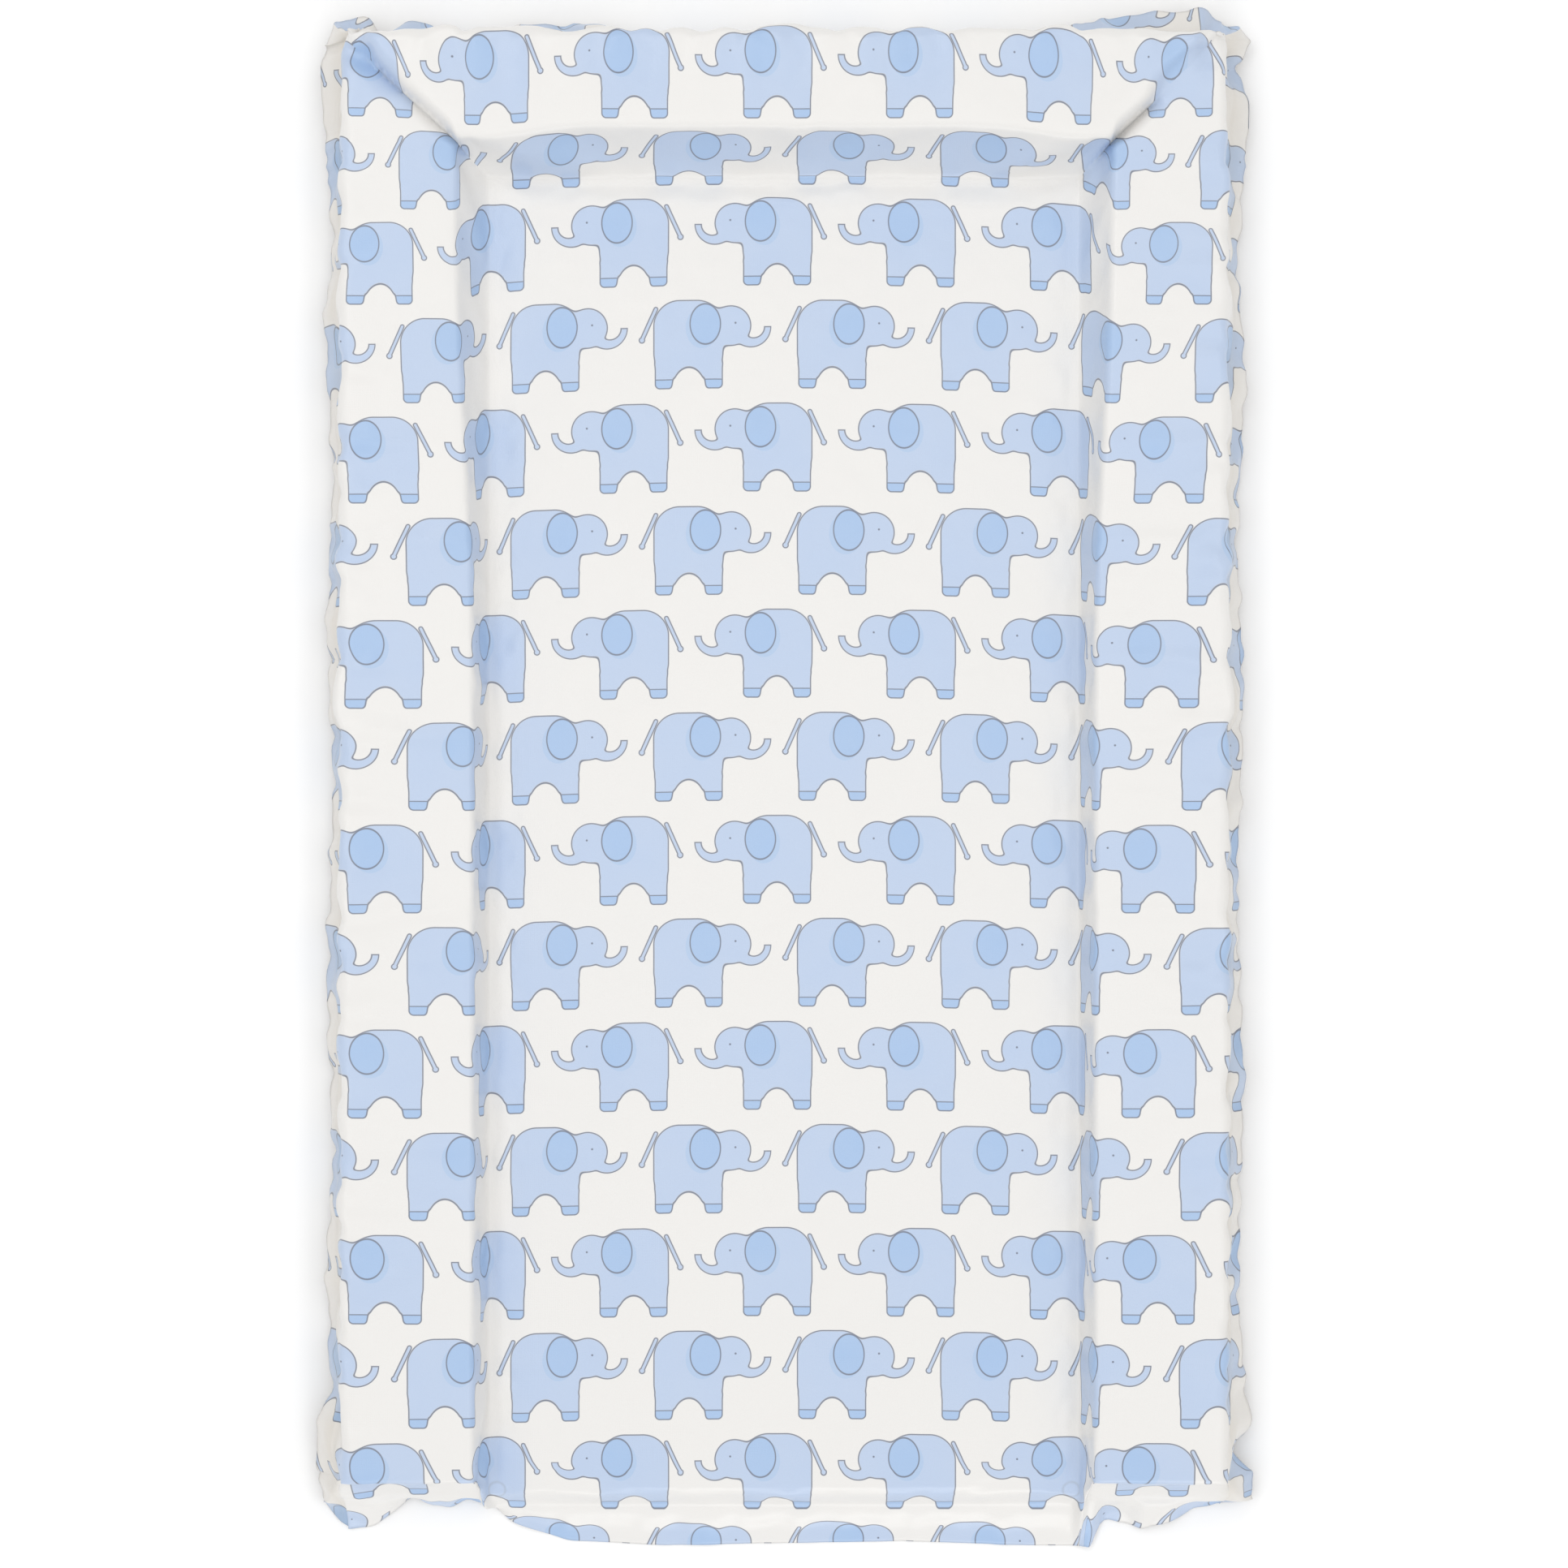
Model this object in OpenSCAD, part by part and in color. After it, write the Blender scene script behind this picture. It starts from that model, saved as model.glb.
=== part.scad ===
// Three-sided baby changing mat.
// A thin foam pad and three raised foam bars are sealed between a printed vinyl sheet
// and a plain vinyl backing. The bars frame the changing area on both sides and at the head.
// Origin: middle of the underside. +X to the right, +Y towards the head end, +Z up.

/* [Mat] */
// Length over the weld flanges, foot to head
mat_l = 750; // [700:5:800]
// Width over the weld flanges
mat_w = 454; // [430:2:480]
// Thickness of each vinyl sheet
sheet_t = 0.4; // [0.3:0.1:0.8]
// Width of the weld flange along the sides and the head
flange_w = 13.5; // [10:0.5:16]
// Width of the weld flange along the foot of the changing area
foot_flange_w = 21; // [16:1:24]
// Radius of the flange's corners
corner_r = 14; // [8:1:20]

/* [Raised bars] */
// Height of the head bar over the floor
head_bar_h = 44; // [38:1:50]
// Height of the side bars over the floor
side_bar_h = 36; // [30:1:38]
// Width of each side bar, from the inner weld to the outer wall
side_bar_w = 70; // [60:1:80]
// Width of the head bar, from the inner weld to the outer wall
head_bar_w = 66; // [56:1:76]
// How far the side bars' inner walls lean out over their height
side_lean = 8; // [4:1:12]
// How far the head bar's inner wall leans out over its height
head_lean = 17; // [10:1:22]
// How far the outer walls lean in over their height
outer_lean = 2; // [0:1:6]
// Distance from the foot edge to the ends of the side bars
bar_setback = 37; // [34:1:44]

/* [Changing area] */
// Height of the thin pad over the floor
pad_h = 15; // [10:1:20]
// How far the pad's edges slope in over its height
pad_slope = 8; // [4:1:14]
// Width of the weld that parts the pad from the bars
weld_w = 3; // [2:0.5:5]
// Diameter of the round weld at each foot end of the inner weld
weld_dot_d = 8.4; // [6:0.2:12]
// Raised height of the round weld's rim
weld_dot_h = 0.4; // [0.2:0.1:0.6]

/* [Foam] */
// Space between the foam and the sheets' walls
foam_gap = 0.2; // [0.1:0.1:0.5]
// Space between two foam pieces at a mitred corner
mitre_gap = 0.6; // [0.4:0.1:1]

/* [Hidden] */
$fn = 48;
outer_x = mat_w / 2 - flange_w;
inner_x = outer_x - side_bar_w;
outer_y = mat_l / 2 - flange_w;
inner_y = outer_y - head_bar_w;
foot_y = -mat_l / 2;
pad_foot_y = foot_y + foot_flange_w;
bar_foot_y = foot_y + bar_setback;
// The flange beside the foot tab is drawn back, because the raised bars take up its length
corner_foot_y = bar_foot_y - flange_w - 4;
foot_tab_x = inner_x + 6;
weld_dot_x = inner_x + 3.2;
weld_dot_y = (bar_foot_y + pad_foot_y) / 2;
foam_skin = sheet_t + foam_gap;
mitre_angle = atan2(head_bar_w, side_bar_w);
slack = 1;

// Flat plate with round corners, from corner to corner in plan
module rounded_plate(low, high, thick) {
    linear_extrude(thick) {
        translate([low[0] + corner_r, low[1]])
            square([high[0] - low[0] - 2 * corner_r, high[1] - low[1]]);
        translate([low[0], low[1] + corner_r])
            square([high[0] - low[0], high[1] - low[1] - 2 * corner_r]);
        for (x = [low[0] + corner_r, high[0] - corner_r], y = [low[1] + corner_r, high[1] - corner_r])
            translate([x, y]) circle(corner_r);
    }
}

// Outline of the whole mat: the main plate and the tab at the foot of the changing area
module mat_plate(thick) {
    rounded_plate([-mat_w / 2, corner_foot_y], [mat_w / 2, mat_l / 2], thick);
    linear_extrude(thick)
        translate([-foot_tab_x, foot_y])
            square([2 * foot_tab_x, bar_foot_y - foot_y]);
}

// Wall outline between two heights; its low and high ends draw in by slope on the way up
module wall_section(low, high, bottom, top, slope) {
    polygon([
        [low, bottom], [low + slope[0], top],
        [high - slope[1], top], [high, bottom]
    ]);
}

// Symmetrical block, half_x wide each way, with sloped walls.
// slope is [both sides, foot, head]; a negative slope widens the block upwards.
module sloped_block(half_x, low_y, high_y, bottom, top, slope) {
    reach_x = half_x + max(0, -slope[0]);
    reach_low = low_y - max(0, -slope[1]);
    reach_high = high_y + max(0, -slope[2]);
    intersection() {
        translate([0, reach_high, 0])
            rotate([90, 0, 0])
                linear_extrude(reach_high - reach_low)
                    wall_section(-half_x, half_x, bottom, top, [slope[0], slope[0]]);
        translate([-reach_x, 0, 0])
            rotate([90, 0, 90])
                linear_extrude(2 * reach_x)
                    wall_section(low_y, high_y, bottom, top, [slope[1], slope[2]]);
    }
}

// The +X half of the mat up to the right-hand mitre, between two heights.
// back is how far the mitre plane is moved away from the side bar.
module beside_mitre(bottom, top, back) {
    intersection() {
        translate([inner_x, inner_y, bottom])
            rotate([0, 0, mitre_angle])
                translate([-mat_l, back - 2 * mat_l, 0])
                    cube([3 * mat_l, 2 * mat_l, top - bottom]);
        translate([0, foot_y, bottom])
            cube([mat_w, mat_l, top - bottom]);
    }
}

// Both side bars and the head bar in one piece; skin is how far every wall is drawn in
module bars(skin) {
    difference() {
        sloped_block(
            outer_x - skin, bar_foot_y + skin, outer_y - skin,
            sheet_t, head_bar_h - skin, [outer_lean, 0, outer_lean]
        );
        sloped_block(
            inner_x + weld_w / 2 + skin, bar_foot_y - slack, inner_y + weld_w / 2 + skin,
            sheet_t, head_bar_h, [-side_lean, 0, -head_lean]
        );
        for (side = [0, 1])
            mirror([side, 0, 0]) beside_mitre(side_bar_h - skin, head_bar_h + slack, skin);
    }
}

// Thin pad with four sloped edges
module pad(skin) {
    sloped_block(
        inner_x - weld_w / 2 - skin, pad_foot_y + skin, inner_y - weld_w / 2 - skin,
        sheet_t, pad_h - skin, [pad_slope, pad_slope, pad_slope]
    );
}

// Room for the foam inside the top sheet, open through the sheet's underside
module foam_room() {
    bars(sheet_t);
    pad(sheet_t);
}

// Printed vinyl: one skin over the bars and the pad, flat at the welds and the flange
module top_sheet() {
    color([0.93, 0.94, 0.96]) {
        difference() {
            union() {
                translate([0, 0, sheet_t]) mat_plate(sheet_t);
                bars(0);
                pad(0);
            }
            foam_room();
        }
        for (side = [-1, 1])
            translate([side * weld_dot_x, weld_dot_y, 2 * sheet_t])
                difference() {
                    cylinder(h = weld_dot_h, d = weld_dot_d);
                    translate([0, 0, -slack])
                        cylinder(h = weld_dot_h + 2 * slack, d = weld_dot_d - 2);
                }
    }
}

// Plain white vinyl under the whole mat
module backing_sheet() {
    color([0.95, 0.95, 0.95]) mat_plate(sheet_t);
}

module base_foam() {
    color([0.96, 0.93, 0.80]) pad(foam_skin);
}

// Head bar, cut to the mitres at both ends
module head_foam() {
    color([0.94, 0.90, 0.74])
        difference() {
            bars(foam_skin);
            for (side = [0, 1])
                mirror([side, 0, 0]) beside_mitre(0, head_bar_h, mitre_gap / 2);
        }
}

// Bar at the +X side, cut to the mitre at the head
module side_foam() {
    color([0.95, 0.91, 0.76])
        intersection() {
            bars(foam_skin);
            beside_mitre(0, side_bar_h, -mitre_gap / 2);
        }
}

module right_side_foam() {
    side_foam();
}

module left_side_foam() {
    mirror([1, 0, 0]) side_foam();
}

top_sheet();
backing_sheet();
base_foam();
head_foam();
left_side_foam();
right_side_foam();
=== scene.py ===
"""Looks of a wipe-clean changing mat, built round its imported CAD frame."""
import math

import bmesh
import bpy
import numpy as np
from mathutils import Matrix, Vector, noise


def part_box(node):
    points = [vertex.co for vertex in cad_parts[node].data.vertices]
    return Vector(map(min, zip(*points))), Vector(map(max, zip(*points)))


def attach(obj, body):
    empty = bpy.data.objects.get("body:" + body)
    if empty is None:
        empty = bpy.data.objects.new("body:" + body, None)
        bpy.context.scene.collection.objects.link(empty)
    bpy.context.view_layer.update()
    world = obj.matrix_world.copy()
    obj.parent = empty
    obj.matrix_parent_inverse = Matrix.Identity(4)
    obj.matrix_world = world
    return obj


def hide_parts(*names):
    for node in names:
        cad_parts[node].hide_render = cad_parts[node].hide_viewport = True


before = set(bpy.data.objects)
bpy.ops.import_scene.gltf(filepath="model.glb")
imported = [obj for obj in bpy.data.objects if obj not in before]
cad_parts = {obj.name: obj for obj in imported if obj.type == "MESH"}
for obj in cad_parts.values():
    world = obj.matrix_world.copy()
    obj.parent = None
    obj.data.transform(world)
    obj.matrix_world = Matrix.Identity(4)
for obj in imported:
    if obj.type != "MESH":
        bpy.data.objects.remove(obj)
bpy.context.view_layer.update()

# -------- sizes, in millimetres
M = 0.001


def node_box(name):
    """Lowest and highest corner of a CAD node, in millimetres."""
    low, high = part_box(name)
    return np.array(low) / M, np.array(high) / M


PAD_LOW, PAD_HIGH = node_box("base_foam")
HEAD_LOW, HEAD_HIGH = node_box("head_foam")
SIDE_LOW, SIDE_HIGH = node_box("right_side_foam")

SHEET = 0.4  # thickness of one vinyl sheet
SKIN = 0.6  # sheet and gap between the CAD foam and the outer surface
INNER_X = (PAD_HIGH[0] + SIDE_LOW[0]) / 2  # middle of the inner weld at the sides
INNER_Y = (PAD_HIGH[1] + HEAD_LOW[1]) / 2  # middle of the inner weld at the head
SIDE_W = SIDE_HIGH[0] + SKIN - INNER_X
HEAD_W = HEAD_HIGH[1] + SKIN - INNER_Y
SIDE_TOP = SIDE_HIGH[2] + SKIN
HEAD_TOP = HEAD_HIGH[2] + SKIN
PAD_TOP = PAD_HIGH[2] + SKIN
FOOT_SEAM = PAD_LOW[1] - SKIN - 1
BAR_FOOT = SIDE_LOW[1] - SKIN

WELD_Z = 12.5  # height of the inner weld
BAND = 1.2  # half the inner weld's width
GROOVE_WALL = 1.0  # width of the steep walls that the backing has beside the inner weld
SIDE_SEAM_Z = 25.0  # height of the outer seam along the sides
HEAD_SEAM_Z = 29.0
# Width, height and outer seam's height of the two kinds of bar
BARS = {"side": (SIDE_W, SIDE_TOP, SIDE_SEAM_Z), "head": (HEAD_W, HEAD_TOP, HEAD_SEAM_Z)}
FLANGE_OUT = 11.0  # how far the hanging flange stands off the bars in plan
FLANGE_DROP = 16.5
FLOOR_GAP = 0.35  # the backing's height over the floor
CELL = 4.7  # spacing of the sheet's points where nothing happens
PAD_CROWN = 1.2
BAR_CROWN = 1.0

# Numbers of steps along a bar's cross-section, from the inner weld outwards
WALL_STEPS, TOP_STEPS, DROP_STEPS, FLANGE_STEPS = 6, 14, 3, 5
TOP_FROM = WALL_STEPS + 2
TOP_TO = TOP_FROM + TOP_STEPS
SEAM = TOP_TO + 2 + DROP_STEPS
LAST = SEAM + 1 + FLANGE_STEPS

CORNER_LEAN = 0.19  # share of a bar's width that its inner wall leans out at the mitres
FOOT_LEAN = 0.075  # the same for the side bars' foot ends
HEAD_LEAN = 0.28  # the same for the middle of the head bar
LEAN_FROM = 60  # where the side bars' lean starts to change, along the mat
CORNER_REACH = 55  # length beside a mitre over which the head bar's lean changes

TOP_ROUND = 3.4  # width of the rounding at a bar's top edges
SEAM_OUT = 1.4  # how far the outer seam stands out from a bar
FLANGE_ROOT = (2.4, 1.8)  # the flange's first point: outwards, and below the seam


# -------- cross-sections
def steps(start, end, count):
    """count points on a straight line, after its start."""
    share = np.arange(1, count + 1)[:, None] / count
    return [tuple(p) for p in np.array(start) + (np.array(end) - np.array(start)) * share]


def smooth(value, low, high):
    """0 below low, 1 above high, and an S-curve between."""
    t = np.clip((np.asarray(value, float) - low) / (high - low), 0, 1)
    return t * t * (3 - 2 * t)


def near_corner(x):
    """0 in the middle of the head bar, 1 at its mitres."""
    return smooth(abs(x), INNER_X - CORNER_REACH, INNER_X)


def head_lean(x):
    """The lean of the head bar's inner wall at x."""
    return HEAD_LEAN + (CORNER_LEAN - HEAD_LEAN) * near_corner(x)


def side_lean(y):
    """The lean of the side bars' inner walls at y."""
    return FOOT_LEAN + (CORNER_LEAN - FOOT_LEAN) * smooth(y, LEAN_FROM, INNER_Y - 20)


def upper_section(width, lean, top, seam_z):
    """(distance from the inner weld, height) of the upper sheet across one bar."""
    line = [(BAND, WELD_Z)]
    line += steps(line[-1], (lean, top - 3.5), WALL_STEPS)
    line += [(lean + 1.1, top - 1.0), (lean + TOP_ROUND, top)]
    for distance, _ in steps((lean + TOP_ROUND, 0), (width - TOP_ROUND, 0), TOP_STEPS):
        across = (distance - lean) / (width - lean)
        line.append((distance, top + BAR_CROWN * 4 * across * (1 - across)))
    line += [(width - 0.9, top - 1.1), (width + 0.1, top - 3.8)]
    line += steps(line[-1], (width + SEAM_OUT, seam_z), DROP_STEPS)
    root_out, root_drop = FLANGE_ROOT
    line.append((width + root_out, seam_z - root_drop))
    for k in range(1, FLANGE_STEPS + 1):
        t = k / FLANGE_STEPS
        line.append((
            width + root_out + (FLANGE_OUT - root_out) * t ** 1.15,
            seam_z - root_drop - (FLANGE_DROP - root_drop) * t ** 0.95,
        ))
    return np.array(line)


def lower_section(upper, width):
    """The backing under the same points: flat on the floor, then up the outer wall to the seam."""
    line = upper.copy()
    flat = slice(0, TOP_TO + 1)
    line[flat, 0] = np.minimum(upper[flat, 0], width - 6.0)
    line[flat, 1] = FLOOR_GAP
    line[1, 0] = BAND + GROOVE_WALL
    line[TOP_TO, 0] = width - 5.0
    seam = upper[SEAM]
    line[TOP_TO + 1] = (width - 2.4, FLOOR_GAP)
    line[TOP_TO + 2] = (width - 0.4, 2.0)
    rise = steps(line[TOP_TO + 2], seam, DROP_STEPS)
    line[SEAM - DROP_STEPS + 1:SEAM + 1] = rise
    return line


def path_lengths(line):
    """Length along a section to each of its points, from its first."""
    gaps = np.linalg.norm(np.diff(line, axis=0), axis=1)
    return np.concatenate([[0], np.cumsum(gaps)])


# Rows round the foot end, from the last full-height row outwards. Each has a distance beyond
# the foot seam and a height, for the pad's part and for the side bars' part of the sheet.
FOOT_PAD = [
    (-20.0, None), (-17.0, None), (-14.5, None), (-12.5, None), (-10.5, 14.9), (-8.5, 13.7),
    (-6.5, 11.5), (-4.2, 8.6), (-2.0, 6.3), (0.0, 5.5), (1.8, 5.2),
    (5.2, 4.5), (9.0, 3.2), (13.0, 2.0), (16.8, 1.2), (20.2, 0.95),
]
FOOT_BAR = [
    (-20.0, None), (-18.4, 35.2), (-17.2, 32.7), (-15.8, 29.8), (-14.1, 26.8), (-12.2, 23.8),
    (-10.2, 21.0), (-8.2, 18.3), (-6.6, 16.0), (-5.2, 14.2), (-3.8, 12.8),
    (-0.6, 10.2), (3.0, 7.8), (6.5, 5.5), (9.5, 3.6), (12.0, 2.0),
]
FOOT_SEAM_ROW = 9
# Share of the foot seam's height that the backing has at the seam's row and in the rows inside it
FOOT_RISE = {0: 1.0, 1: 0.45, 2: 0.08}
PAD_EDGE = (BAND, 3.2, 6.0, 9.5, 13.5, 18.0)  # distances of the pad's outer points from the weld


class Grid:
    """Rows and columns of the sheet's points, with what each one is part of."""

    def __init__(self):
        inner = INNER_X - PAD_EDGE[-1]
        count = round(2 * inner / CELL)
        middle = list(np.linspace(-inner, inner, count + 1))[1:-1]
        left = [-(INNER_X - e) for e in PAD_EDGE]
        right = [INNER_X - e for e in reversed(PAD_EDGE)]
        self.pad_x = left + middle + right
        outwards = list(range(LAST + 1))
        self.side = outwards[::-1] + [-1] * len(self.pad_x) + outwards
        self.sign = [-1] * (LAST + 1) + [0] * len(self.pad_x) + [1] * (LAST + 1)
        self.nx = len(self.side)
        foot_start = FOOT_SEAM - FOOT_PAD[0][0]
        head_end = INNER_Y - PAD_EDGE[-1]
        count = round((head_end - foot_start) / CELL)
        self.pad_y = list(np.linspace(foot_start, head_end, count + 1))[1:]
        self.pad_y += [INNER_Y - e for e in reversed(PAD_EDGE[:-1])]
        self.foot_rows = len(FOOT_PAD)
        self.ny = self.foot_rows + len(self.pad_y) + LAST + 1

    def station(self, i):
        """Side station of a column, or -1 for the pad's columns."""
        return self.side[i]

    def head(self, j):
        """Head station of a row: negative on the pad and the foot, and -1 next to the head bar."""
        return j - self.foot_rows - len(self.pad_y)

    def foot(self, j):
        """Index in the foot tables of a row, or -1."""
        return self.foot_rows - 1 - j if j < self.foot_rows else -1


PAD_SLOPE_X, PAD_SLOPE_Y = 20.0, 13.0  # how far from the weld the pad reaches its full height
CROWN_FROM, CROWN_TO = 8, 60  # distances from the weld between which the crown grows


def pad_height(x, y):
    """The pad's surface: a shallow crown that drops to the weld at its edges."""
    beside, above = INNER_X - abs(x), INNER_Y - y
    rise = min(smooth(beside, BAND, PAD_SLOPE_X), smooth(above, BAND - 1.0, PAD_SLOPE_Y))
    crown = PAD_CROWN * max(0.0, 1 - (x / INNER_X) ** 2)
    crown *= smooth(min(beside, above), CROWN_FROM, CROWN_TO)
    return WELD_Z + (PAD_TOP - WELD_Z) * rise + crown


def build_surface(grid, lower):
    """Positions of every grid point on the upper sheet, or on the backing if lower."""
    place = np.zeros((grid.ny, grid.nx, 3))
    cache = {}

    def section(kind, lean_share):
        key = (kind, round(lean_share, 4))
        if key not in cache:
            width, top, seam_z = BARS[kind]
            line = upper_section(width, lean_share * width, top, seam_z)
            cache[key] = lower_section(line, width) if lower else line
        return cache[key]

    for j in range(grid.ny):
        head, foot = grid.head(j), grid.foot(j)
        plain_y = None if head >= 0 or foot >= 0 else grid.pad_y[j - grid.foot_rows]
        for i in range(grid.nx):
            side = grid.station(i)
            y_now = plain_y if plain_y is not None else (INNER_Y if head >= 0 else FOOT_SEAM)
            lines = section("side", float(side_lean(y_now)))
            if side >= 0:
                x = grid.sign[i] * (INNER_X + lines[side, 0])
                head_share = CORNER_LEAN
            else:
                x = grid.pad_x[i - (LAST + 1)]
                head_share = head_lean(x)
            head_line = section("head", float(head_share))
            if head >= 0:
                y = INNER_Y + head_line[head, 0]
            elif foot >= 0:
                share = smooth(side, -1, TOP_FROM) if side >= 0 else 0.0
                out = FOOT_PAD[foot][0] * (1 - share) + FOOT_BAR[foot][0] * share
                y = FOOT_SEAM - out
            else:
                y = plain_y
            if side >= 0 and side > head:
                z = lines[side, 1]
            elif head > side:
                z = head_line[head, 1]
            elif side >= 0:
                z = min(lines[side, 1], head_line[head, 1])
            else:
                z = FLOOR_GAP if lower else pad_height(x, y)
            if foot >= 0:
                z = foot_height(foot, side, z, lower)
            place[j, i] = (x, y, z)
    return place


def foot_height(foot, side, z, lower):
    """Height of a point near the foot end, where both the pad and the bars run out."""
    table = FOOT_PAD if side < 0 else FOOT_BAR
    limit = table[foot][1]
    if not lower:
        return z if limit is None else min(z, limit)
    if foot > FOOT_SEAM_ROW:
        return max(min(z, limit) if side > SEAM else limit, FLOOR_GAP)
    rise = FOOT_RISE.get(FOOT_SEAM_ROW - foot, 0.0)
    edge = FLOOR_GAP + (table[FOOT_SEAM_ROW][1] - FLOOR_GAP) * rise
    return max(edge, min(z, edge) if side > TOP_TO else FLOOR_GAP)


# -------- waves and lobes of the flange
EDGE_FOLD = 2.2  # size of the folds that the bars' outer edges start with
INWARD_FOLD = 0.6  # an inward fold's size beside an outward one's, because the foam stops it
# Wavelength and height of the waves that the flange starts with
SIDE_WAVE, HEAD_WAVE = (24, 3.0), (22, 3.4)
FOOT_WAVELENGTH, PAD_FOOT_WAVE, BAR_FOOT_WAVE = 22, 1.6, 4.0
FOLD_WAVELENGTH = 18

# The flange's cut edge, as (x, y) round the foot and the head and (y, x) down each side
FOOT_EDGE = [
    (-228, -350), (-214, -366), (-202, -365), (-190, -356), (-183, -351.5), (-172, -355),
    (-165, -356), (-155, -352), (-144, -355), (-133, -364), (-106, -372.5), (-60, -375),
    (0, -374), (60, -373), (120, -375), (152, -375), (157, -361), (165, -363), (176, -366),
    (190, -362), (202, -357), (214, -354), (226, -351),
]
HEAD_EDGE = [
    (-222, 373), (-205, 376), (-195, 367), (-183, 373), (-172, 372), (-160, 364), (-130, 371),
    (-90, 371), (-60, 364), (0, 367), (60, 364), (120, 367), (150, 372), (180, 377),
    (205, 378), (216, 371),
]
LEFT_EDGE = [
    (-352, 225), (-335, 229), (-312, 228), (-295, 222), (-240, 224), (-180, 221), (-100, 224),
    (0, 221), (80, 224), (150, 221), (230, 225), (270, 221), (330, 225), (352, 228), (372, 221),
]
RIGHT_EDGE = [
    (-352, 229), (-338, 230), (-326, 218), (-314, 230), (-300, 226), (-250, 222), (-150, 225),
    (-50, 222), (50, 225), (120, 222), (200, 226), (250, 222), (300, 225), (335, 228),
    (350, 221), (364, 229), (376, 222),
]


def edge_at(position, table):
    """The cut edge's place at a position along one side of the mat."""
    return float(np.interp(position, *zip(*table)))


def ripple(position, wavelength, seed):
    """Smooth repeatable wave between about -1 and 1 along one direction."""
    return 1.6 * noise.noise(Vector((position / wavelength, seed * 7.31, 0.5)))


def flange_share(grid, i, j):
    """How far out on the flange a point is along the side, head and foot directions, 0 to 1."""
    span = LAST - SEAM
    foot_span = len(FOOT_PAD) - 1 - FOOT_SEAM_ROW
    return (
        max(0.0, (grid.station(i) - SEAM) / span),
        max(0.0, (grid.head(j) - SEAM) / span),
        max(0.0, (grid.foot(j) - FOOT_SEAM_ROW) / foot_span),
    )


def wave_flange(grid, place):
    """Gives the flange its cut outline and waves, and starts the folds in the bars' outer edges."""
    seam_column = {-1: LAST - SEAM, 1: grid.nx - 1 - (LAST - SEAM)}
    seam_rows = {"foot": grid.foot_rows - 1 - FOOT_SEAM_ROW, "head": grid.ny - 1 - (LAST - SEAM)}
    built = place.copy()
    for j in range(grid.ny):
        for i in range(grid.nx):
            side, head, foot = flange_share(grid, i, j)
            x, y, z = built[j, i]
            border = max(grid.station(i), grid.head(j))
            if side:
                seam_x = abs(built[j, seam_column[grid.sign[i]], 0])
                edge = edge_at(y, RIGHT_EDGE if grid.sign[i] > 0 else LEFT_EDGE)
                place[j, i, 0] = grid.sign[i] * (seam_x + (edge - seam_x) * side)
                place[j, i, 2] += side * SIDE_WAVE[1] * ripple(y, SIDE_WAVE[0], 4 + grid.sign[i])
            if head:
                seam_y = built[seam_rows["head"], i, 1]
                place[j, i, 1] = seam_y + (edge_at(x, HEAD_EDGE) - seam_y) * head
                place[j, i, 2] += head * HEAD_WAVE[1] * ripple(x, HEAD_WAVE[0], 9)
            if foot:
                seam_y = built[seam_rows["foot"], i, 1]
                place[j, i, 1] = seam_y + (edge_at(x, FOOT_EDGE) - seam_y) * foot
                lift = PAD_FOOT_WAVE if grid.station(i) < 0 else BAR_FOOT_WAVE
                place[j, i, 2] += foot * lift * max(0, ripple(x, FOOT_WAVELENGTH, 13))
            if border >= TOP_TO - 4 and not foot:
                along, out = (x, 1) if grid.head(j) >= grid.station(i) else (y, 0)
                push = EDGE_FOLD * smooth(border, TOP_TO - 5, TOP_TO + 1)
                push = push * ripple(along, FOLD_WAVELENGTH, 21 + out)
                push *= smooth(LAST - border, 0, LAST - SEAM)
                direction = math.copysign(push, 1 if out else x)
                place[j, i, out] += direction * (1 if push > 0 else INWARD_FOLD)
                place[j, i, 2] += push * 0.5
            place[j, i, 2] = max(place[j, i, 2], FLOOR_GAP + 2 * SHEET)


# Depth of the mitre's crease from the inner corner outwards, on the left and on the right
CREASE_AT = (0.0, 0.25, 0.5, 0.75, 1.0)
CREASE_LEFT = (6.0, 5.0, 4.0, 4.5, 2.0)
CREASE_RIGHT = (10.0, 8.5, 3.5, 0.8, 0.5)
BESIDE_CREASE = {0: 1.0, 1: 0.14, -1: 0.22}  # share of the depth on the crease and next to it
SOFTENING = 8  # rounds of smoothing at the outer ends of the mitres
SOFT_FROM = ((-1, 0.8), (1, 0.35))  # where along the left and the right mitre it starts


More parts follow.
